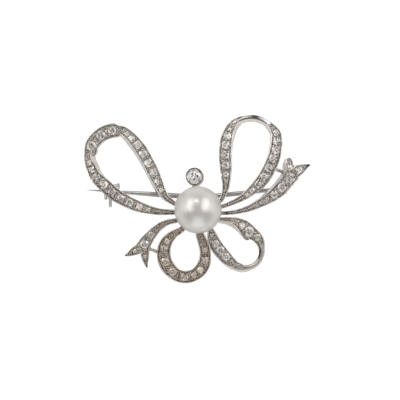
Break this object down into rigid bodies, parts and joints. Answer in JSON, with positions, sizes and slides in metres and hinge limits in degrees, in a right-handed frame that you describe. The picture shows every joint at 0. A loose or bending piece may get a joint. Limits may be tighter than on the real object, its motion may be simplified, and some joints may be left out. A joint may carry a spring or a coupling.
{
  "type": "bow brooch",
  "caption": "Bow brooch of engraved, stone-set ribbon loops and notched tails round a raised pearl, with a bezel-set stone above, a hinged pin and a roller catch.",
  "frame": {"origin": "middle of the brooch's outline, on the table that it lies on", "axes": "+X to the right across the bow, +Y to the top of the bow, +Z out of its front"},
  "size_m": [0.041, 0.0304, 0.0127],
  "materials": {
    "bow_metal": "engraved, dark in the cuts, with polished borders",
    "fittings": "plain polished",
    "stones": "cut and polished, colourless to grey",
    "pearl": "soft lustre, cream white"
  },
  "bodies": {
    "bow": {"bow_frame": "bow_metal", "pearl": "pearl", "bezel_stone": "stones", "left_loop_low_stone_1": "stones", "left_loop_low_stone_2": "stones", "left_loop_low_stone_3": "stones", "left_loop_low_stone_4": "stones", "left_loop_low_stone_5": "stones", "left_loop_fold_stone_1": "stones", "left_loop_fold_stone_2": "stones", "left_loop_fold_stone_3": "stones", "left_loop_high_stone_1": "stones", "left_loop_high_stone_2": "stones", "left_loop_high_stone_3": "stones", "left_loop_high_stone_4": "stones", "left_loop_high_stone_5": "stones", "left_loop_high_stone_6": "stones", "right_loop_rise_stone_1": "stones", "right_loop_rise_stone_2": "stones", "right_loop_rise_stone_3": "stones", "right_loop_rise_stone_4": "stones", "right_loop_fall_stone_1": "stones", "right_loop_fall_stone_2": "stones", "right_loop_fall_stone_3": "stones", "right_loop_fall_stone_4": "stones", "right_loop_fall_stone_5": "stones", "right_tail_stone_1": "stones", "right_tail_stone_2": "stones", "right_tail_stone_3": "stones", "right_tail_outer_point_stone_1": "stones", "low_loop_fold_stone_1": "stones", "low_loop_fold_stone_2": "stones", "low_loop_return_stone_1": "stones", "low_loop_return_stone_2": "stones", "low_loop_return_stone_3": "stones", "middle_loop_stone_1": "stones", "middle_loop_stone_2": "stones", "middle_loop_stone_3": "stones", "middle_loop_stone_4": "stones", "middle_loop_stone_5": "stones", "left_tail_stone_1": "stones", "left_tail_stone_2": "stones", "small_stones": "stones", "hinge_rivet": "fittings"},
    "pin": {"pin_stem": "fittings"},
    "roller": {"catch_roller": "fittings"}
  },
  "joints": [
    {"name": "pin_swing", "type": "hinge", "parent": "bow", "child": "pin", "pos_m": [0.01518, 0.00185, 0.00149], "axis": [0, -1, 0], "range_deg": [0, 75]},
    {"name": "roller_turn", "type": "hinge", "parent": "bow", "child": "roller", "pos_m": [-0.01538, 0.00136, 0.00149], "axis": [1, 0, 0], "range_deg": [0, 110]}
  ]
}
